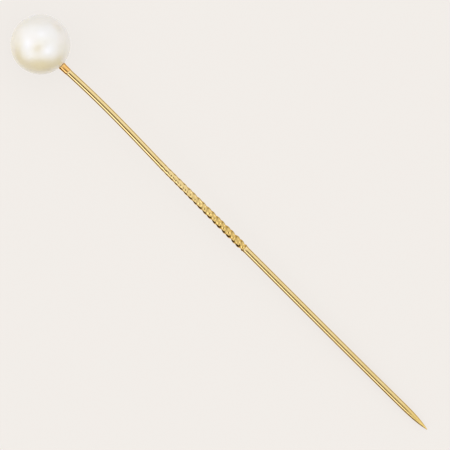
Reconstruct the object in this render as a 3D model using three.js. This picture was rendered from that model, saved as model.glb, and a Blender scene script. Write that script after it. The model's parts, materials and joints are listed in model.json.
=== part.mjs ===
// A gold stick pin with a round pearl head, lying on a table on its pearl and its lower end.
//
// The pin is a half-drilled pearl cemented on a notched peg, a small dished cup under the pearl, and a
// shank of two wires soldered end to end. The upper wire ends in a spiral grip: the round wire is hammered
// to a flat bar with four edges and twisted, so that it holds in cloth. The lower wire is ground to a point.
//
// Every piece is first made round the pin's own axis, which runs along +X from the pearl's centre at x = 0
// to the point. The finished pin is then tipped so that the pearl and the lower wire both touch z = 0.
// Millimetres, +Z up. The origin is on the table, under the middle of the pin's box.
import * as THREE from 'three';

// Driving dimensions
const PIN_LENGTH = 65.0; // from the pearl's far side to the point
const PEARL_DIAMETER = 6.8;
const WIRE_DIAMETER = 0.75;
const NACRE_THICKNESS = 0.5; // the pearl's skin over its shell bead
const DRILL_DIAMETER = 0.8; // the hole in the pearl
const DRILL_DEPTH = 4.4; // about two thirds of the way through
const PEG_DIAMETER = 0.6;
const PEG_NOTCHES = 5;
const PEG_NOTCH_DEPTH = 0.04;
const PEG_NOTCH_SHARE = 0.4; // of the distance from one notch to the next
const CEMENT_CAP = 0.2; // cement between the peg's end and the bottom of the hole
const CEMENT_SHORTFALL = 0.1; // the cement stops this far below the cup's lip
const CUP_LIP_DIAMETER = 0.92;
const CUP_BASE_DIAMETER = 0.82;
const CUP_LENGTH = 1.0;
const CUP_LIP_SHARE = 0.12; // of the cup's length at the full width of its lip
const CUP_FLARE_SHARE = 0.35; // of the cup's length, from the lip to the end of the flare
const GRIP_START = 18.05; // where the wire starts to turn from round to flat
const GRIP_END = 32.5; // where the two wires meet
const GRIP_LEAD = 3.04; // one full turn of the twist, which is right-handed
const GRIP_PHASE = 36; // degrees that the bar's wide axis would stand from +Y where the grip starts
const GRIP_WIDTH = 0.82; // of the bar, at the grip's end
const GRIP_THICKNESS = 0.67;
const GRIP_EDGE_SHARPNESS = 7; // exponent of the superellipse: 2 is round, 8 nearly square
const GRIP_GROWTH = 1.2; // 1 flattens the wire evenly along the grip, more flattens it later
const POINT_LENGTH = 4.2; // the ground part
const POINT_FULLNESS = 2.8; // 1 is a straight cone, more bulges the sides
const POINT_TIP_DIAMETER = 0.09;
const SOLDER_THICKNESS = 0.05;
const SOLDER_EDGE = 0.015; // thickness of a solder skirt where it runs out
const CUP_SOLDER_SKIRT = 0.15; // how far the solder runs down the wire
const SHANK_SOLDER_SKIRT = 0.25;
const SHANK_SOLDER_DIAMETER = 0.82;
const UPPER_BOW = 0.163; // how far the upper wire bows sideways
const UPPER_BOW_OVERRUN = 2.2; // the bow ends this far into the grip
const UPPER_BOW_LEAN = 0.8; // below 1 moves the top of the bow towards the pearl
const UPPER_BOW_TAPER = 1.3; // above 1 lets the bow come in gently at both ends
const POINT_BOW = 0.104; // how far the last stretch bends to the same side
const POINT_BOW_LENGTH = 17;
const FIT = 0.01; // space between neighbouring pieces

// Worked out from the driving dimensions
const pearlRadius = PEARL_DIAMETER / 2;
const nucleusRadius = pearlRadius - NACRE_THICKNESS;
const wireRadius = WIRE_DIAMETER / 2;
const drillRadius = DRILL_DIAMETER / 2;
const drillBottom = pearlRadius - DRILL_DEPTH;
const pegRadius = PEG_DIAMETER / 2;
const pegTip = drillBottom + CEMENT_CAP;
const cupLipRadius = CUP_LIP_DIAMETER / 2;
const cupBaseRadius = CUP_BASE_DIAMETER / 2;
const cupLip = Math.sqrt((pearlRadius + FIT) ** 2 - cupLipRadius ** 2);
const cupBase = cupLip + CUP_LENGTH;
const shankStart = cupBase + SOLDER_THICKNESS + 2 * FIT;
const lowerStart = GRIP_END + SOLDER_THICKNESS + 2 * FIT;
const pointTip = PIN_LENGTH - pearlRadius;
const pointStart = pointTip - POINT_LENGTH;
const bowStart = (cupLip + cupBase) / 2;
const bowEnd = GRIP_START + UPPER_BOW_OVERRUN;
const curveStart = pointTip - POINT_BOW_LENGTH;

// Fineness of the round shapes
const PEARL_SEGMENTS = 32;
const PEARL_RINGS = 14;
const WIRE_SEGMENTS = 16;
const GRIP_SEGMENTS = 24; // finer, for the four edges
const RINGS_PER_TURN = 16; // along the twist
const BOW_STEP = 2.2; // length of the straight stretches that make up a bowed wire
const POINT_STEP = 0.5; // along the ground part

// Looks
const material = (color, roughness, metalness) => (
  new THREE.MeshStandardMaterial({ color, roughness, metalness })
);
const NACRE = () => material('#f3efe6', 0.22, 0);
const SHELL = () => material('#e9e2cf', 0.45, 0);
const CEMENT = () => material('#d8c9a0', 0.4, 0);
const GOLD = () => material('#e3bd62', 0.18, 1);
const WORN_GOLD = () => material('#dcc070', 0.3, 1);
const SOLDER = () => material('#d9bf80', 0.35, 1);

// The wire's small bends, sideways from the straight axis: one long bow in the upper wire, and a slight
// curve over the last third.
function bow(x) {
  const along = THREE.MathUtils.clamp((x - bowStart) / (bowEnd - bowStart), 0, 1);
  const past = Math.max(0, (x - curveStart) / (pointTip - curveStart));
  const upper = UPPER_BOW * Math.sin(Math.PI * along ** UPPER_BOW_LEAN) ** UPPER_BOW_TAPER;
  return upper + POINT_BOW * past ** 2;
}

// Bends a geometry made round the straight axis to the wire's line.
function bent(geometry) {
  const position = geometry.attributes.position;
  for (let i = 0; i < position.count; i += 1) {
    position.setY(i, position.getY(i) + bow(position.getX(i)));
  }
  return geometry;
}

// A solid of revolution about the pin's axis. The outline is a list of [distance along the axis, radius],
// from one end of the axis to the other with the solid on its right.
function turned(outline, segments) {
  const points = outline.map(([x, radius]) => new THREE.Vector2(radius, x));
  return new THREE.LatheGeometry(points, segments).rotateZ(-Math.PI / 2);
}

// Points of a circle about the pearl's centre, from one angle to another, measured from +X.
function arc(radius, from, to, steps) {
  const points = [];
  for (let i = 0; i <= steps; i += 1) {
    const angle = from + ((to - from) * i) / steps;
    points.push([radius * Math.cos(angle), Math.max(0, radius * Math.sin(angle))]);
  }
  return points;
}

// Evenly spaced distances from one place on the axis to another, both ends included.
function stations(from, to, step) {
  const count = Math.ceil((to - from) / step);
  return Array.from({ length: count + 1 }, (_, i) => from + ((to - from) * i) / count);
}

// The pearl's skin, hollow for its bead, with the drilled hole as the way in.
function nacre() {
  const cavityRadius = nucleusRadius + FIT;
  const outer = arc(pearlRadius, Math.PI, Math.asin(drillRadius / pearlRadius), PEARL_RINGS);
  const inner = arc(cavityRadius, Math.asin(drillRadius / cavityRadius), Math.PI, PEARL_RINGS);
  return turned([...outer, ...inner], PEARL_SEGMENTS);
}

// The shell bead that the pearl grew on, with the blind end of the drilled hole.
function nucleus() {
  const outer = arc(nucleusRadius, Math.PI, Math.asin(drillRadius / nucleusRadius), PEARL_RINGS);
  return turned([...outer, [drillBottom, drillRadius], [drillBottom, 0]], PEARL_SEGMENTS);
}

// The cement that fills the hole round the peg, and closes its bottom.
function cement() {
  const top = cupLip - CEMENT_SHORTFALL;
  const outerRadius = drillRadius - FIT;
  const innerRadius = pegRadius + FIT;
  return turned([
    [drillBottom + FIT, 0],
    [drillBottom + FIT, outerRadius],
    [top, outerRadius],
    [top, innerRadius],
    [pegTip - FIT, innerRadius],
    [pegTip - FIT, 0],
  ], WIRE_SEGMENTS);
}

// The peg: a wire with rings filed into it to key the cement, through the cup to its base.
function peg() {
  const outline = [[pegTip, 0], [pegTip, pegRadius]];
  const pitch = (cupLip - pegTip) / (PEG_NOTCHES + 1);
  const half = (pitch * PEG_NOTCH_SHARE) / 2;
  for (let i = 1; i <= PEG_NOTCHES; i += 1) {
    const middle = pegTip + i * pitch;
    outline.push([middle - half, pegRadius]);
    outline.push([middle, pegRadius - PEG_NOTCH_DEPTH]);
    outline.push([middle + half, pegRadius]);
  }
  outline.push([cupLip, pegRadius], [cupBase, pegRadius], [cupBase, 0]);
  return turned(outline, WIRE_SEGMENTS);
}

// The cup: a flared collar, dished to the pearl's curve, that the peg runs through.
function cup() {
  const boreRadius = pegRadius + FIT;
  const waist = cupLip + CUP_LENGTH * CUP_FLARE_SHARE;
  const dishBottom = Math.sqrt((pearlRadius + FIT) ** 2 - boreRadius ** 2);
  return turned([
    [dishBottom, boreRadius],
    [cupLip, cupLipRadius],
    [cupLip + CUP_LENGTH * CUP_LIP_SHARE, cupLipRadius],
    [waist, cupBaseRadius],
    [cupBase, cupBaseRadius],
    [cupBase, boreRadius],
    [dishBottom, boreRadius],
  ], WIRE_SEGMENTS);
}

// A layer of solder between two butted ends, with a skirt that runs down the second one.
function solder(start, startRadius, skirtLength) {
  const skirtEnd = start + SOLDER_THICKNESS + skirtLength;
  return turned([
    [start, 0],
    [start, startRadius],
    [skirtEnd, wireRadius + SOLDER_EDGE],
    [skirtEnd, wireRadius + FIT],
    [start + SOLDER_THICKNESS, wireRadius + FIT],
    [start + SOLDER_THICKNESS, 0],
  ], WIRE_SEGMENTS);
}

// Turns the round section at each distance into a flat one with four edges, by as much as the maker's hammer
// did there, and twists it about the axis.
function gripped(geometry) {
  const position = geometry.attributes.position;
  for (let i = 0; i < position.count; i += 1) {
    const x = position.getX(i);
    const radius = Math.hypot(position.getY(i), position.getZ(i));
    const angle = Math.atan2(position.getZ(i), position.getY(i));
    const worked = THREE.MathUtils.clamp((x - GRIP_START) / (GRIP_END - GRIP_START), 0, 1) ** GRIP_GROWTH;
    const halfWidth = THREE.MathUtils.lerp(wireRadius, GRIP_WIDTH / 2, worked);
    const halfThickness = THREE.MathUtils.lerp(wireRadius, GRIP_THICKNESS / 2, worked);
    const sharpness = 2 * (GRIP_EDGE_SHARPNESS / 2) ** worked;
    const across = Math.abs(Math.cos(angle) / halfWidth) ** sharpness;
    const through = Math.abs(Math.sin(angle) / halfThickness) ** sharpness;
    const reach = (radius / wireRadius) * (across + through) ** (-1 / sharpness);
    const turns = Math.max(0, x - GRIP_START) / GRIP_LEAD;
    const direction = angle + THREE.MathUtils.degToRad(GRIP_PHASE) + 2 * Math.PI * turns;
    position.setXYZ(i, x, reach * Math.cos(direction), reach * Math.sin(direction));
  }
  return geometry;
}

// The upper wire: plain and round from the cup, then the spiral grip.
function upperShank() {
  const plain = stations(shankStart, GRIP_START, BOW_STEP);
  const grip = stations(GRIP_START, GRIP_END, GRIP_LEAD / RINGS_PER_TURN).slice(1);
  const surface = [...plain, ...grip].map((x) => [x, wireRadius]);
  return gripped(turned([[shankStart, 0], ...surface, [GRIP_END, 0]], GRIP_SEGMENTS));
}

// The lower wire's outline: plain, then ground to a point with slightly bulging sides.
function lowerOutline() {
  const plain = stations(lowerStart, pointStart, BOW_STEP).map((x) => [x, wireRadius]);
  const tipRadius = POINT_TIP_DIAMETER / 2;
  const groundLength = POINT_LENGTH - tipRadius;
  const point = stations(pointStart, pointStart + groundLength, POINT_STEP).slice(1).map((x) => {
    const along = (x - pointStart) / groundLength;
    return [x, tipRadius + (wireRadius - tipRadius) * (1 - along ** POINT_FULLNESS)];
  });
  return [...plain, ...point];
}

function lowerShank() {
  return turned([[lowerStart, 0], ...lowerOutline(), [pointTip, 0]], WIRE_SEGMENTS);
}

// The slope at which the pin lies. The pearl touches the table, and so does the first place along the lower
// wire that the table meets as the pin comes down.
function restingSlope() {
  return Math.min(...lowerOutline().map(([x, radius]) => (
    Math.asin(pearlRadius / Math.hypot(x, radius)) - Math.atan2(radius, x)
  )));
}

const pin = new THREE.Group();

function add(name, geometry, look) {
  const mesh = new THREE.Mesh(bent(geometry), look);
  mesh.name = name;
  pin.add(mesh);
}

add('pearl_nacre', nacre(), NACRE());
add('pearl_nucleus', nucleus(), SHELL());
add('pearl_cement', cement(), CEMENT());
add('pearl_peg', peg(), GOLD());
add('pearl_cup', cup(), GOLD());
add('cup_solder', solder(cupBase + FIT, cupBaseRadius, CUP_SOLDER_SKIRT), SOLDER());
add('upper_shank', upperShank(), GOLD());
add('shank_solder', solder(GRIP_END + FIT, SHANK_SOLDER_DIAMETER / 2, SHANK_SOLDER_SKIRT), SOLDER());
add('lower_shank', lowerShank(), WORN_GOLD());

// Lay the pin on the table and put the middle of its footprint over the origin.
pin.rotation.y = restingSlope();
pin.updateMatrixWorld(true);
const box = new THREE.Box3().setFromObject(pin, true);
const middle = box.getCenter(new THREE.Vector3());
pin.position.set(-middle.x, -middle.y, -box.min.z);

const group = new THREE.Group();
group.add(pin);

export default group;
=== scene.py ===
"""The look of the pearl stick pin: fine meshes and materials in place of the CAD nodes, then the stage.

Every piece is modelled round the pin's own axis, which runs along +X from the pearl's centre to the point, in
metres. pin_matrix then lays it where the CAD model has it. The CAD nodes give the places along the axis.
"""

import json
import math

import bpy
import numpy as np
from mathutils import Matrix, Vector, noise


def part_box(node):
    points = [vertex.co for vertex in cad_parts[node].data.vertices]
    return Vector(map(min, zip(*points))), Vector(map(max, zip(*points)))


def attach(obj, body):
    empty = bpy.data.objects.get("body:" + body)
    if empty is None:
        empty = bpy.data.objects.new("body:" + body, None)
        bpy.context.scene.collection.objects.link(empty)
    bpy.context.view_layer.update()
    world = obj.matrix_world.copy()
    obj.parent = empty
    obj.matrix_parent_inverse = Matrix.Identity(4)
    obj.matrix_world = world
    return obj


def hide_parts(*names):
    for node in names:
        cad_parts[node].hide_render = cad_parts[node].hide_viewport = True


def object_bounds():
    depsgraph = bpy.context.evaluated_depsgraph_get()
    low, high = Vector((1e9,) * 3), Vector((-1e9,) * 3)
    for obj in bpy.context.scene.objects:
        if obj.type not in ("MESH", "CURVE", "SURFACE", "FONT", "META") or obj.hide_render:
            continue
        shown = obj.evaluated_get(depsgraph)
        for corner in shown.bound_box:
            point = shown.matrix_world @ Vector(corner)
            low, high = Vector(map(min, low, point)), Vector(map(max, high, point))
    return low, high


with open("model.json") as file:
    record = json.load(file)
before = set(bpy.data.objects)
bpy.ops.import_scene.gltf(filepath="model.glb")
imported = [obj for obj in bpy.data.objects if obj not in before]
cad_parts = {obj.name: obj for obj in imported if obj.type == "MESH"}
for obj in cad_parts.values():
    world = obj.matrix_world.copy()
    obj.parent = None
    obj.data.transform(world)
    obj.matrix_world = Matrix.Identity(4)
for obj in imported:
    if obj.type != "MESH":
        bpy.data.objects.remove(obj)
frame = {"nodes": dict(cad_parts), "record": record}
cad_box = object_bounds()

MM = 0.001

# ---------------------------------------------------------------- places, from the CAD model
mount = frame["record"]["mounts"][0]
axis = Vector(mount["axis"]).normalized()
wire_radius = mount["dims"]["r_mm"] * MM

pearl_low, pearl_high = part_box("pearl_nacre")
pearl_radius = (pearl_high.z - pearl_low.z) / 2
pearl_vertices = frame["nodes"]["pearl_nacre"].data.vertices
far_pole = min((v.co for v in pearl_vertices), key=lambda place: place.dot(axis))
pearl_centre = Vector(far_pole) + axis * pearl_radius


def span(node):
    """Nearest and farthest distance of a CAD node from the pearl's centre, along the axis."""
    distances = [(v.co - pearl_centre).dot(axis) for v in frame["nodes"][node].data.vertices]
    return min(distances), max(distances)


nucleus_radius = -span("pearl_nucleus")[0]
drill_bottom, cement_top = span("pearl_cement")
peg_tip, peg_base = span("pearl_peg")
cup_lip, cup_base = span("pearl_cup")
upper_start, upper_end = span("upper_shank")
lower_start, point_tip = span("lower_shank")

across = Vector((0, 1, 0))
pin_axes = Matrix((axis, across, axis.cross(across))).transposed()
pin_matrix = Matrix.Translation(pearl_centre) @ pin_axes.to_4x4()

# ---------------------------------------------------------------- dimensions of the details
FIT = 0.01 * MM  # between neighbouring pieces
PEARL_UNEVENNESS = 0.0035  # share of the radius by which the waves of the surface go in
LONG_WAVES = 1.7  # of the pearl's surface, per radius
LONG_WAVE_WEIGHT = 0.9
SHORT_WAVES = 4.1
SHORT_WAVE_WEIGHT = 0.25
SHORT_WAVE_PLACE = Vector((7, 3, 1))  # where the short waves are taken from the noise
DRILL_RADIUS = 0.4 * MM
DRILL_EDGE = 0.05 * MM  # rounding of the hole's rim
DRILL_CONE_SHARE = 0.8  # radius of the hole's flat bottom, as a share of its own
DRILL_CONE_LENGTH = 0.06 * MM
PEG_RADIUS = 0.3 * MM
PEG_BEVEL = 0.03 * MM
PEG_NOTCHES = 5
PEG_NOTCH_DEPTH = 0.04 * MM
PEG_NOTCH_SHARE = 0.4  # of the distance from one notch to the next
CUP_LIP_RADIUS = 0.46 * MM
CUP_BASE_RADIUS = 0.41 * MM
LIP_BEAD = 0.035 * MM  # radius of the rolled lip
LIP_ROLL = (0.25, math.pi * 0.8)  # angles at which its curve starts and ends
FLARE_HOLLOW = 2.5  # exponent of the cup's flare: 1 is a straight cone
FLARE_SHARE = 0.94  # of the cup's length below the lip
CUP_BASE_EDGE = 0.02 * MM  # rounding at the foot of the cup
FILLET_HOLLOW = 2.2  # exponent of the solder's curve
FILLET_EDGE = 0.004 * MM  # thickness of the solder where it runs out
JOINT_FILLET_RADIUS = 0.41 * MM
WIRE_EDGE = 0.012 * MM  # broken edge at the ends of the wires
GRIP_END_EDGE = 0.03 * MM  # rounding where the grip stops
PLAIN_STEP = 0.25 * MM  # between the rings of the plain wire
GRIP_LENGTH = 14.45 * MM
GRIP_LEAD = 3.04 * MM  # one full turn of the right-handed twist
GRIP_PHASE = math.radians(36)  # of the wide axis from +Y, where the grip starts
GRIP_HALF_WIDTH = 0.41 * MM  # of the flattened section, at the grip's end
GRIP_HALF_THICKNESS = 0.335 * MM
GRIP_SHARPNESS = 7  # exponent of the superellipse there
GRIP_GROWTH = 1.2  # how late along the grip the edges come up
POINT_LENGTH = 4.2 * MM
POINT_FULLNESS = 2.8  # 1 is a straight cone, more bulges the sides
TIP_RADIUS = 0.045 * MM
UPPER_BOW = 0.163 * MM  # how far the upper wire bows sideways
UPPER_BOW_OVERRUN = 2.2 * MM  # the bow ends this far into the grip
UPPER_BOW_LEAN = 0.8  # below 1 moves the top of the bow towards the pearl
UPPER_BOW_TAPER = 1.3  # above 1 lets the bow come in gently at both ends
POINT_BOW = 0.104 * MM  # how far the last stretch bends to the same side
POINT_BOW_LENGTH = 17 * MM

grip_start = upper_end - GRIP_LENGTH
point_start = point_tip - POINT_LENGTH
bow_start = (cup_lip + cup_base) / 2
bow_end = grip_start + UPPER_BOW_OVERRUN
curve_start = point_tip - POINT_BOW_LENGTH


def bow(x):
    """Sideways bend of the wires at a distance along the axis."""
    along = np.clip((x - bow_start) / (bow_end - bow_start), 0, 1)
    past = np.clip((x - curve_start) / (point_tip - curve_start), 0, None)
    return UPPER_BOW * np.sin(math.pi * along**UPPER_BOW_LEAN) ** UPPER_BOW_TAPER + POINT_BOW * past**2


# ---------------------------------------------------------------- meshes
def arc(radius, start, end, steps, centre=0.0):
    """Outline points of a circle about a place on the axis, with angles from +X."""
    angles = np.linspace(start, end, steps + 1)
    return [(centre + radius * math.cos(a), max(0.0, radius * math.sin(a))) for a in angles]


def revolved(outline, segments):
    """Points and faces of an outline of (distance along the axis, radius) turned about the axis.
    Radius 0 makes a single point. An outline that ends where it starts makes a ring."""
    is_ring = outline[0] == outline[-1]
    rows, points, faces = [], [], []
    angles = np.linspace(0, 2 * math.pi, segments, endpoint=False)
    for x, radius in outline[:-1] if is_ring else outline:
        first = len(points)
        if radius < 1e-9:
            points.append((x, 0.0, 0.0))
            rows.append([first] * segments)
        else:
            points.extend((x, radius * math.cos(a), radius * math.sin(a)) for a in angles)
            rows.append(list(range(first, first + segments)))
    if is_ring:
        rows.append(rows[0])
    for near, far in zip(rows, rows[1:]):
        for i in range(segments):
            j = (i + 1) % segments
            corners = [near[i], near[j], far[j], far[i]]
            faces.append([c for k, c in enumerate(corners) if c != corners[k - 1]])
    return np.array(points), faces


def add_piece(name, points, faces, node, material, sharp_degrees=40):
    """A piece on the pin's axis that takes the place of a CAD node."""
    points = np.array(points)
    points[:, 1] += bow(points[:, 0])
    mesh = bpy.data.meshes.new(name)
    mesh.from_pydata(points.tolist(), [], faces)
    mesh.transform(pin_matrix)
    mesh.validate()
    mesh.shade_smooth()
    mesh.set_sharp_from_angle(angle=math.radians(sharp_degrees))
    mesh.materials.append(material)
    piece = bpy.data.objects.new(name, mesh)
    bpy.context.scene.collection.objects.link(piece)
    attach(piece, "root")
    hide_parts(node)


# ---------------------------------------------------------------- materials
def add_node(tree, kind, inputs=None, **settings):
    """A shader node. An input given as a socket is linked, and any other value is set."""
    made = tree.nodes.new(kind)
    for name, value in settings.items():
        setattr(made, name, value)
    for name, value in (inputs or {}).items():
        if isinstance(value, bpy.types.NodeSocket):
            tree.links.new(value, made.inputs[name])
        else:
            made.inputs[name].default_value = value
    return made


def new_material(name):
    """A new material with its node tree and its main shader."""
    material = bpy.data.materials.new(name)
    material.use_nodes = True
    tree = material.node_tree
    return material, tree, tree.nodes["Principled BSDF"]


def stretched_noise(tree, along, around, detail, roughness=0.6):
    """Noise in the pin's own frame. along and around are the sizes of its features in metres."""
    place = {
        "Vector": add_node(tree, "ShaderNodeTexCoord").outputs["Object"],
        "Location": pearl_centre,
        "Rotation": pin_matrix.to_euler(),
        "Scale": (along, around, around),
    }
    mapped = add_node(tree, "ShaderNodeMapping", place, vector_type="TEXTURE")
    values = {"Vector": mapped.outputs["Vector"], "Scale": 1.0, "Detail": detail, "Roughness": roughness}
    return add_node(tree, "ShaderNodeTexNoise", values).outputs["Fac"]


def distance_along(tree, rotation):
    """Distance from the pearl's centre along the X axis of a turned frame."""
    place = {
        "Vector": add_node(tree, "ShaderNodeTexCoord").outputs["Object"],
        "Location": pearl_centre,
        "Rotation": rotation,
    }
    mapped = add_node(tree, "ShaderNodeMapping", place, vector_type="TEXTURE")
    return add_node(tree, "ShaderNodeSeparateXYZ", {"Vector": mapped.outputs["Vector"]}).outputs["X"]


def ranged(tree, value, low, high, to_low, to_high):
    """A value moved from one range to another, clamped."""
    values = {"Value": value, "From Min": low, "From Max": high, "To Min": to_low, "To Max": to_high}
    return add_node(tree, "ShaderNodeMapRange", values).outputs["Result"]


def mixed(tree, factor, first, second):
    """Two colours mixed by a factor. The node's colour sockets are its inputs 6 and 7 and its output 2."""
    return add_node(tree, "ShaderNodeMix", {0: factor, 6: first, 7: second}, data_type="RGBA").outputs[2]


def maths(tree, operation, *values):
    """A number worked out from one or two others."""
    return add_node(tree, "ShaderNodeMath", dict(enumerate(values)), operation=operation).outputs[0]


def bumped(tree, height, strength, distance, normal=None):
    """A surface direction tilted by a height, on top of an earlier tilt if there is one."""
    values = {"Height": height, "Strength": strength, "Distance": distance}
    if normal is not None:
        values["Normal"] = normal
    return add_node(tree, "ShaderNodeBump", values).outputs["Normal"]


GLANCING_TINT = (1.0, 0.66, 0.3, 1)  # of the gold where it mirrors at a low angle
DENT_DEPTH = 0.012 * MM
LINE_DEPTH = 0.002 * MM
TOOL_MARK_DEPTH = 0.01 * MM
SOFTLY = 0.2  # strength of the dents and drawing lines


def gold(name, bright, deep, roughness, wear, worked=None):
    """Polished wire: drawing lines along it, soft dents, and wear that dulls it in patches. worked describes
    a stretch where the tool marks of the grip or of the ground point come in, along with a deeper colour
    painted there as shade."""
    material, tree, shader = new_material(name)
    lines = stretched_noise(tree, 3 * MM, 0.06 * MM, detail=2)
    patches = stretched_noise(tree, 1.6 * MM, 0.5 * MM, detail=3)
    dents = stretched_noise(tree, 0.9 * MM, 0.5 * MM, detail=1)
    tint = ranged(tree, patches, 0.35, 0.65, 0.0, 1.0)
    colour = mixed(tree, tint, (*bright, 1), (*deep, 1))
    dulled = ranged(tree, patches, 0.3, 0.7, roughness, roughness + wear)
    normal = bumped(tree, dents, SOFTLY, DENT_DEPTH)
    normal = bumped(tree, lines, SOFTLY, LINE_DEPTH, normal)
    if worked:
        along = distance_along(tree, pin_matrix.to_euler())
        share = ranged(tree, along, worked["start"], worked["full"], 0.0, 1.0)
        # painted shade: over the worked stretch the colour turns to its deeper gold
        colour = mixed(tree, share, colour, (*worked["colour"], 1))
        dulled = maths(tree, "ADD", dulled, maths(tree, "MULTIPLY", share, worked["roughness"]))
        marks = stretched_noise(tree, 0.2 * MM, 0.12 * MM, detail=2)
        strength = maths(tree, "MULTIPLY", share, worked["marks"])
        normal = bumped(tree, marks, strength, TOOL_MARK_DEPTH, normal)
    tree.links.new(colour, shader.inputs["Base Color"])
    tree.links.new(dulled, shader.inputs["Roughness"])
    tree.links.new(normal, shader.inputs["Normal"])
    shader.inputs["Metallic"].default_value = 1.0
    shader.inputs["Specular Tint"].default_value = GLANCING_TINT
    return material


SHADED_SIDE = Vector((0.4, -0.9, 0))  # painted shade: the pearl's skin is tinted creamier towards this side, where its rim lies in shade
SHADE_TINT_RANGE = (-0.7, 0.8)  # in radii towards it, where the painted shade tint starts and where it is full
RIPPLE_DEPTH = 0.05 * MM


def nacre():
    """Pearl skin: a warm body colour, tinted creamier on one side as painted shade, with the cool sheen that
    its fine layers reflect and a clear, faintly uneven surface."""
    material, tree, shader = new_material("nacre_skin")
    clouds = stretched_noise(tree, 2.2 * MM, 2.2 * MM, detail=2, roughness=0.45)
    blush = stretched_noise(tree, 1.5 * MM, 1.7 * MM, detail=1, roughness=0.4)
    cloudy = ranged(tree, clouds, 0.35, 0.65, 0.0, 1.0)
    # warm is the colour of the painted shade; cool is the skin's colour elsewhere
    cool = mixed(tree, cloudy, (0.74, 0.66, 0.45, 1), (0.76, 0.68, 0.50, 1))
    warm = mixed(tree, cloudy, (0.85, 0.73, 0.42, 1), (0.86, 0.75, 0.46, 1))
    # painted shade: the skin turns to the warm colour towards the shaded side
    towards_shaded_side = distance_along(tree, SHADED_SIDE.to_track_quat("X", "Z").to_euler())
    start, full = (pearl_radius * share for share in SHADE_TINT_RANGE)
    cream = mixed(tree, ranged(tree, towards_shaded_side, start, full, 0.0, 1.0), cool, warm)
    tinted = mixed(tree, ranged(tree, blush, 0.5, 0.75, 0.0, 0.3), cream, (0.81, 0.68, 0.50, 1))
    tree.links.new(tinted, shader.inputs["Base Color"])
    ripples = stretched_noise(tree, 0.8 * MM, 0.8 * MM, detail=2)
    tree.links.new(bumped(tree, ripples, 0.12, RIPPLE_DEPTH), shader.inputs["Normal"])
    tree.links.new(ranged(tree, clouds, 0.3, 0.7, 0.38, 0.46), shader.inputs["Roughness"])
    shader.inputs["IOR"].default_value = 2.3
    shader.inputs["Specular IOR Level"].default_value = 1.0
    shader.inputs["Specular Tint"].default_value = (0.26, 0.46, 1.0, 1)
    shader.inputs["Coat Weight"].default_value = 0.6
    shader.inputs["Coat Roughness"].default_value = 0.1
    shader.inputs["Coat IOR"].default_value = 1.5
    return material


def shell():
    """Shell bead: parallel growth bands in a satin body."""
    material, tree, shader = new_material("shell_banded")
    bands = stretched_noise(tree, 0.22 * MM, 4 * MM, detail=3)
    tint = ranged(tree, bands, 0.4, 0.6, 0.0, 1.0)
    colour = mixed(tree, tint, (0.74, 0.66, 0.50, 1), (0.85, 0.81, 0.72, 1))
    tree.links.new(colour, shader.inputs["Base Color"])
    tree.links.new(ranged(tree, bands, 0.3, 0.7, 0.38, 0.52), shader.inputs["Roughness"])
    return material


def cement():
    """Jeweller's cement: amber and slightly lumpy."""
    material, tree, shader = new_material("amber_cement")
    lumps = stretched_noise(tree, 0.15 * MM, 0.15 * MM, detail=3)
    tint = ranged(tree, lumps, 0.35, 0.65, 0.0, 1.0)
    colour = mixed(tree, tint, (0.60, 0.44, 0.20, 1), (0.76, 0.64, 0.38, 1))
    tree.links.new(colour, shader.inputs["Base Color"])
    tree.links.new(bumped(tree, lumps, 0.4, 0.02 * MM), shader.inputs["Normal"])
    tree.links.new(ranged(tree, lumps, 0.3, 0.7, 0.3, 0.5), shader.inputs["Roughness"])
    return material


GRIP_MARKS_AND_SHADE = {
    "start": grip_start + 2 * MM,
    "full": upper_end - 4 * MM,
    # painted shade and painted reflection: a deeper gold for the shade and gold-on-gold reflection between
    # the twisted edges
    "colour": (0.47, 0.335, 0.12),
    "roughness": 0.05,
    "marks": 0.6,
}
GRINDING_MARKS_AND_SHADE = {
    "start": point_start - 0.5 * MM,
    "full": point_tip - 1.5 * MM,
    # painted shade: the colour darkens the point to a browner gold
    "colour": (0.58, 0.43, 0.15),
    "roughness": 0.08,
    "marks": 0.3,
}
UPPER_GOLD = gold("upper_gold", (0.63, 0.51, 0.27), (0.60, 0.47, 0.22), 0.05, 0.06, GRIP_MARKS_AND_SHADE)
CUP_GOLD = gold("cup_gold", (0.70, 0.44, 0.17), (0.66, 0.40, 0.14), 0.12, 0.08)
LOWER_GOLD = gold("lower_gold", (0.61, 0.49, 0.25), (0.58, 0.45, 0.20), 0.10, 0.08, GRINDING_MARKS_AND_SHADE)
SOLDER_GOLD = gold("solder_gold", (0.67, 0.53, 0.28), (0.63, 0.48, 0.24), 0.18, 0.10)
NACRE = nacre()
SHELL = shell()
CEMENT = cement()


# ---------------------------------------------------------------- pieces
def build_pearl_skin():
    """A ball that is not quite round, hollow for its bead, with a rounded rim to the drilled hole."""
    edge_angle = math.asin((DRILL_RADIUS + DRILL_EDGE) / pearl_radius)
    cavity_radius = nucleus_radius + FIT
    outer = arc(pearl_radius, math.pi, edge_angle, 90)
    rim_x = (pearl_radius - DRILL_EDGE) * math.cos(edge_angle)
    rim = [
        (rim_x + DRILL_EDGE * math.sin(a), DRILL_RADIUS + DRILL_EDGE - DRILL_EDGE * math.cos(a))
        for a in np.linspace(math.pi / 2, 0, 6)[1:]
    ]
    inner = arc(cavity_radius, math.asin(DRILL_RADIUS / cavity_radius), math.pi, 40)
    points, faces = revolved([*outer, *rim, *inner], 128)
    for i, point in enumerate(points):
        if math.hypot(*point) > pearl_radius - DRILL_EDGE:
            place = Vector(point) / pearl_radius
            long_waves = noise.noise(place * LONG_WAVES) * LONG_WAVE_WEIGHT
            short_waves = noise.noise(place * SHORT_WAVES + SHORT_WAVE_PLACE) * SHORT_WAVE_WEIGHT
            points[i] *= 1 - PEARL_UNEVENNESS * (0.5 + (long_waves + short_waves))
    add_piece("pearl_skin", points, faces, "pearl_nacre", NACRE)


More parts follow.
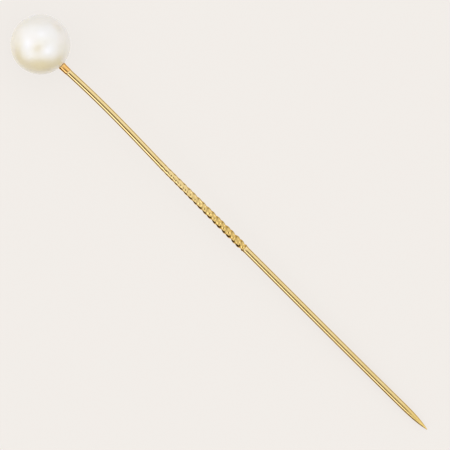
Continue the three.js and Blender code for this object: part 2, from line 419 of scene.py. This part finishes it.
def build_shell_bead():
    """The bead, with the blind end of the drilled hole."""
    outer = arc(nucleus_radius, math.pi, math.asin(DRILL_RADIUS / nucleus_radius), 60)
    hole_bottom = drill_bottom - FIT
    drill_cone = [
        (hole_bottom + DRILL_CONE_LENGTH, DRILL_RADIUS),
        (hole_bottom, DRILL_RADIUS * DRILL_CONE_SHARE),
        (hole_bottom, 0.0),
    ]
    points, faces = revolved([*outer, *drill_cone], 96)
    add_piece("shell_bead", points, faces, "pearl_nucleus", SHELL)


def peg_outline(grow):
    """The notched peg's outline, grown outwards by a clearance."""
    pitch = (cup_lip - peg_tip) / (PEG_NOTCHES + 1)
    half = pitch * PEG_NOTCH_SHARE / 2
    outline = [
        (peg_tip - grow, 0.0),
        (peg_tip - grow, PEG_RADIUS - PEG_BEVEL + grow),
        (peg_tip + PEG_BEVEL, PEG_RADIUS + grow),
    ]
    for i in range(1, PEG_NOTCHES + 1):
        middle = peg_tip + i * pitch
        for step in np.linspace(-1, 1, 9):
            depth = PEG_NOTCH_DEPTH * 0.5 * (1 + math.cos(math.pi * step))
            outline.append((middle + step * half, PEG_RADIUS - depth + grow))
    return outline


def build_peg():
    """The notched wire, from inside the pearl to the foot of the cup."""
    outline = [*peg_outline(0.0), (peg_base, PEG_RADIUS), (peg_base, 0.0)]
    points, faces = revolved(outline, 48)
    add_piece("notched_peg", points, faces, "pearl_peg", CUP_GOLD)


def build_cement():
    """A sleeve that fills the hole round the peg and closes its bottom."""
    outer_radius = DRILL_RADIUS - FIT
    outer = [
        (drill_bottom, 0.0),
        (drill_bottom, outer_radius * DRILL_CONE_SHARE),
        (drill_bottom + DRILL_CONE_LENGTH, outer_radius),
        (cement_top, outer_radius),
    ]
    inner = [(cement_top, PEG_RADIUS + FIT), *reversed(peg_outline(FIT))]
    points, faces = revolved([*outer, *inner], 48)
    add_piece("cement_sleeve", points, faces, "pearl_cement", CEMENT)


def build_cup():
    """A collar dished to the pearl's curve, with a rolled lip and a flare that runs down to its foot."""
    bore = PEG_RADIUS + FIT
    dish_radius = pearl_radius + FIT
    dish = [
        (math.sqrt(dish_radius**2 - r**2), r)
        for r in np.linspace(bore, CUP_LIP_RADIUS - LIP_BEAD, 8)
    ]
    lip = [
        (cup_lip + LIP_BEAD * (1 - math.cos(a)), CUP_LIP_RADIUS - LIP_BEAD + LIP_BEAD * math.sin(a))
        for a in np.linspace(*LIP_ROLL, 9)
    ]
    flare_x, flare_radius = lip[-1]
    length = cup_base - flare_x
    flare = [
        (flare_x + length * s, CUP_BASE_RADIUS + (flare_radius - CUP_BASE_RADIUS) * (1 - s) ** FLARE_HOLLOW)
        for s in np.linspace(0, FLARE_SHARE, 16)[1:]
    ]
    base = [
        (cup_base - 0.4 * CUP_BASE_EDGE, CUP_BASE_RADIUS - 0.2 * CUP_BASE_EDGE),
        (cup_base, CUP_BASE_RADIUS - CUP_BASE_EDGE),
        (cup_base, bore),
    ]
    outline = [*dish, *lip, *flare, *base, dish[0]]
    points, faces = revolved(outline, 64)
    add_piece("dished_cup", points, faces, "pearl_cup", CUP_GOLD)


def build_solder(name, node, wire_start, first_radius):
    """Solder between two butted ends, which runs down the second wire in a hollow curve."""
    start, end = span(node)
    layer = wire_start - FIT
    inner = wire_radius + FIT
    thin = inner + FILLET_EDGE
    fillet = [
        (start + (end - start) * s, thin + (first_radius - thin) * (1 - s) ** FILLET_HOLLOW)
        for s in np.linspace(0, 1, 14)
    ]
    outline = [(start, 0.0), *fillet, (end, inner), (layer, inner), (layer, 0.0)]
    points, faces = revolved(outline, 64)
    add_piece(name, points, faces, node, SOLDER_GOLD, sharp_degrees=50)


def build_upper_wire():
    """Round wire, then the grip: its section goes from round to four-edged and turns about the axis."""
    plain = np.arange(upper_start + WIRE_EDGE, grip_start, PLAIN_STEP)
    grip = np.linspace(grip_start, upper_end - GRIP_END_EDGE, 400)
    outline = [
        (upper_start, 0.0),
        (upper_start, wire_radius - WIRE_EDGE),
        *[(x, wire_radius) for x in [*plain, *grip]],
        (upper_end - 0.4 * GRIP_END_EDGE, wire_radius - GRIP_END_EDGE / 3),
        (upper_end, wire_radius - GRIP_END_EDGE),
        (upper_end, 0.0),
    ]
    points, faces = revolved(outline, 96)
    x, y, z = points.T
    radius = np.hypot(y, z)
    angle = np.arctan2(z, y)
    worked = np.clip((x - grip_start) / GRIP_LENGTH, 0, 1) ** GRIP_GROWTH
    half_width = wire_radius + (GRIP_HALF_WIDTH - wire_radius) * worked
    half_thickness = wire_radius + (GRIP_HALF_THICKNESS - wire_radius) * worked
    sharpness = 2 * (GRIP_SHARPNESS / 2) ** worked
    section = np.abs(np.cos(angle) / half_width) ** sharpness
    section += np.abs(np.sin(angle) / half_thickness) ** sharpness
    reach = radius / wire_radius * section ** (-1 / sharpness)
    turn = angle + GRIP_PHASE + 2 * math.pi * np.clip(x - grip_start, 0, None) / GRIP_LEAD
    points = np.stack([x, reach * np.cos(turn), reach * np.sin(turn)], axis=1)
    add_piece("gripped_wire", points, faces, "upper_shank", UPPER_GOLD)


def build_lower_wire():
    """Round wire, ground to a point with slightly bulging sides and a tiny rounded tip."""
    plain = np.arange(lower_start + WIRE_EDGE, point_start, PLAIN_STEP)
    ground_length = POINT_LENGTH - TIP_RADIUS
    point = [
        (point_start + ground_length * s, TIP_RADIUS + (wire_radius - TIP_RADIUS) * (1 - s**POINT_FULLNESS))
        for s in np.linspace(0, 1, 60)
    ]
    tip = arc(TIP_RADIUS, math.pi / 2, 0, 8, centre=point_tip - TIP_RADIUS)[1:]
    butt_end = [(lower_start, 0.0), (lower_start, wire_radius - WIRE_EDGE)]
    outline = [*butt_end, *[(x, wire_radius) for x in plain], *point, *tip]
    points, faces = revolved(outline, 96)
    add_piece("pointed_wire", points, faces, "lower_shank", LOWER_GOLD)


build_pearl_skin()
build_shell_bead()
build_cement()
build_peg()
build_cup()
build_solder("cup_fillet", "cup_solder", upper_start, CUP_BASE_RADIUS - FILLET_EDGE)
build_solder("joint_fillet", "shank_solder", lower_start, JOINT_FILLET_RADIUS)
build_upper_wire()
build_lower_wire()

# ---------------------------------------------------------------- floor, light and camera
VIEW_ROLL = math.radians(44.985)  # the pin runs from the upper left to the lower right
VIEW_SPAN = 0.7805 * (cad_box[1].x - cad_box[0].x)  # width of the picture at the pin
VIEW_OFFSET = 0.303 * MM  # the picture's middle lies this far to +Y of the pin's box
CAMERA_HEIGHT = 1.2
SENSOR = 36.0
PALE = (0.871, 0.838, 0.807)
FLOOR_HALF = 2.0
FLOOR_GLOW = 0.87
FLOOR_MATT = (0.09, 0.085, 0.08, 1)  # takes the soft shadow
TENT_CENTRE = (-0.033, 0.067)  # in radii of a mirror ball, to the right and up in the picture
TENT_HALF = (0.617, 0.567)
TENT_POWER = 6  # exponent of its rounded square
TENT_EDGE = (1.5, 0.6)  # from outside to inside
PATCH_EDGE = 0.35  # softness of a light's rim
CAMERA_EDGE = 0.2
FACING_EDGE = (0.0, 0.1)  # keeps a patch off the far side of the sky
DARK_SIDE_EDGE = (0.05, 0.55)  # how far a direction leans to the dark side, where it starts and is full
NEAR_TABLE_EDGE = (-0.35, -0.85)  # height of a direction, where the table starts to hide the room

screen_right = Vector((math.cos(VIEW_ROLL), math.sin(VIEW_ROLL), 0))
screen_up = Vector((-math.sin(VIEW_ROLL), math.cos(VIEW_ROLL), 0))


def from_zenith(right, up, degrees):
    """Direction that leans from straight up by some degrees, towards a direction in the picture."""
    lean = (screen_right * right + screen_up * up).normalized()
    angle = math.radians(degrees)
    return lean * math.sin(angle) + Vector((0, 0, 1)) * math.cos(angle)


def build_floor():
    """A pale table lit from within, so that it takes hardly any shadow. It is clear when seen from below."""
    corners = [(FLOOR_HALF * x, FLOOR_HALF * y, 0) for x, y in ((-1, -1), (1, -1), (1, 1), (-1, 1))]
    mesh = bpy.data.meshes.new("floor")
    mesh.from_pydata(corners, [], [(0, 1, 2, 3)])
    floor = bpy.data.objects.new("floor", mesh)
    floor.location.z = cad_box[0].z
    bpy.context.scene.collection.objects.link(floor)
    material = bpy.data.materials.new("light_table")
    material.use_nodes = True
    tree = material.node_tree
    tree.nodes.clear()
    glow = add_node(tree, "ShaderNodeEmission", {"Color": (*PALE, 1), "Strength": FLOOR_GLOW})
    matt = add_node(tree, "ShaderNodeBsdfDiffuse", {"Color": FLOOR_MATT})
    both = add_node(tree, "ShaderNodeAddShader")
    tree.links.new(glow.outputs[0], both.inputs[0])
    tree.links.new(matt.outputs[0], both.inputs[1])
    below = add_node(tree, "ShaderNodeNewGeometry").outputs["Backfacing"]
    clear = add_node(tree, "ShaderNodeBsdfTransparent")
    sided = add_node(tree, "ShaderNodeMixShader", {"Fac": below})
    tree.links.new(both.outputs[0], sided.inputs[1])
    tree.links.new(clear.outputs[0], sided.inputs[2])
    output = add_node(tree, "ShaderNodeOutputMaterial")
    tree.links.new(sided.outputs[0], output.inputs["Surface"])
    mesh.materials.append(material)
    floor.visible_glossy = False


def dot(tree, vector, direction):
    """How far a vector points along a fixed direction."""
    made = add_node(tree, "ShaderNodeVectorMath", {0: vector, 1: direction}, operation="DOT_PRODUCT")
    return made.outputs["Value"]


def soft_step(tree, value, low, high):
    """0 at low, 1 at high, and smooth between them."""
    values = {"Value": value, "From Min": low, "From Max": high}
    return add_node(tree, "ShaderNodeMapRange", values, interpolation_type="SMOOTHSTEP").outputs["Result"]


def patch(tree, direction, centre, lean, half_long, half_short, softness=PATCH_EDGE):
    """1 inside an oval patch of the sky, 0 outside. lean is the direction of its long side, and half_long and
    half_short are in degrees."""
    long_side = (lean - centre * lean.dot(centre)).normalized()
    short_side = centre.cross(long_side)
    squares = []
    for side, half in ((long_side, half_long), (short_side, half_short)):
        share = maths(tree, "DIVIDE", dot(tree, direction, side), math.sin(math.radians(half)))
        squares.append(maths(tree, "MULTIPLY", share, share))
    inside = soft_step(tree, maths(tree, "ADD", *squares), 1 + softness, 1 - softness)
    facing = soft_step(tree, dot(tree, direction, centre), *FACING_EDGE)
    return maths(tree, "MULTIPLY", inside, facing)


def tent_opening(tree, direction):
    """1 where the tent shows. Its rounded square is laid out as it mirrors in a ball seen from above."""
    halfway = add_node(tree, "ShaderNodeVectorMath", {0: direction, 1: (0, 0, 1)}, operation="ADD").outputs[0]
    facing = add_node(tree, "ShaderNodeVectorMath", {0: halfway}, operation="NORMALIZE").outputs[0]
    terms = []
    for screen_axis, centre, half in zip((screen_right, screen_up), TENT_CENTRE, TENT_HALF):
        offset = maths(tree, "SUBTRACT", dot(tree, facing, screen_axis), centre)
        distance = maths(tree, "ABSOLUTE", maths(tree, "DIVIDE", offset, half))
        terms.append(maths(tree, "POWER", distance, TENT_POWER))
    return soft_step(tree, maths(tree, "ADD", *terms), *TENT_EDGE)


def build_world():
    """A light tent overhead, with three softboxes, a strip light and the dark camera on its arm. The pale
    table and walls show all round below it, except for a grey stand, and for one side where the room is dark.
    The camera itself sees only the pale backdrop."""
    world = bpy.data.worlds.new("studio")
    bpy.context.scene.world = world
    world.use_nodes = True
    tree = world.node_tree
    tree.nodes.clear()
    direction = add_node(tree, "ShaderNodeTexCoord").outputs["Generated"]
    height = dot(tree, direction, (0, 0, 1))
    walls = (1.04, 1.02, 0.98, 1)
    tent = (1.47, 1.45, 1.40, 1)
    room = (0.09, 0.055, 0.02, 1)
    camera_body = (0.15, 0.085, 0.025, 1)
    camera_arm = (1.15, 1.13, 1.08, 1)
    strip_light = (2.3, 2.25, 2.1, 1)
    dark_stand = (0.50, 0.44, 0.28, 1)
    softbox = (3.2, 3.16, 3.08, 1)

    dark_side = soft_step(tree, dot(tree, direction, from_zenith(-0.2, -1, 90)), *DARK_SIDE_EDGE)
    near_table = soft_step(tree, height, *NEAR_TABLE_EDGE)
    dark = maths(tree, "MULTIPLY", dark_side, maths(tree, "SUBTRACT", 1.0, near_table))
    light = mixed(tree, dark, walls, room)
    light = mixed(tree, tent_opening(tree, direction), light, tent)
    patches = (  # colour, middle, direction of the long side, half the length and width in degrees
        (strip_light, from_zenith(-0.95, -1.05, 60), from_zenith(-1, -1, 120), 17, 9),
        (softbox, from_zenith(-1, 0, 49), screen_up, 15, 8),
        (softbox, from_zenith(0.15, 1, 37), screen_right, 9, 7),
        (softbox, from_zenith(0.75, -0.66, 39), from_zenith(0.6, 0.8, 90), 13, 10),
        (camera_arm, from_zenith(1, 0.3, 22), from_zenith(1, 0.4, 90), 12, 9),
        (dark_stand, from_zenith(1, 1, 106), Vector((1, 0, 0)), 14, 14),
        (camera_body, from_zenith(-0.5, -0.87, 18), from_zenith(1, 1, 90), 19, 10, CAMERA_EDGE),
    )
    for colour, *shape in patches:
        light = mixed(tree, patch(tree, direction, *shape), light, colour)
    seen = add_node(tree, "ShaderNodeLightPath").outputs["Is Camera Ray"]
    light = mixed(tree, seen, light, (*PALE, 1))
    background = add_node(tree, "ShaderNodeBackground", {"Color": light})
    output = add_node(tree, "ShaderNodeOutputWorld")
    tree.links.new(background.outputs[0], output.inputs["Surface"])


def build_camera():
    """A camera straight above the pin, far enough away for a nearly flat view."""
    data = bpy.data.cameras.new("camera")
    camera = bpy.data.objects.new("camera", data)
    bpy.context.scene.collection.objects.link(camera)
    data.sensor_width = SENSOR
    pin_height = (cad_box[0].z + cad_box[1].z) / 2
    data.lens = SENSOR * (CAMERA_HEIGHT - pin_height) / VIEW_SPAN
    data.clip_start = 0.1
    data.clip_end = 10.0
    camera.location = (0, VIEW_OFFSET, CAMERA_HEIGHT)
    camera.rotation_euler = (0, 0, VIEW_ROLL)
    bpy.context.scene.camera = camera


build_floor()
build_world()
build_camera()
bpy.context.scene.view_settings.view_transform = "Standard"
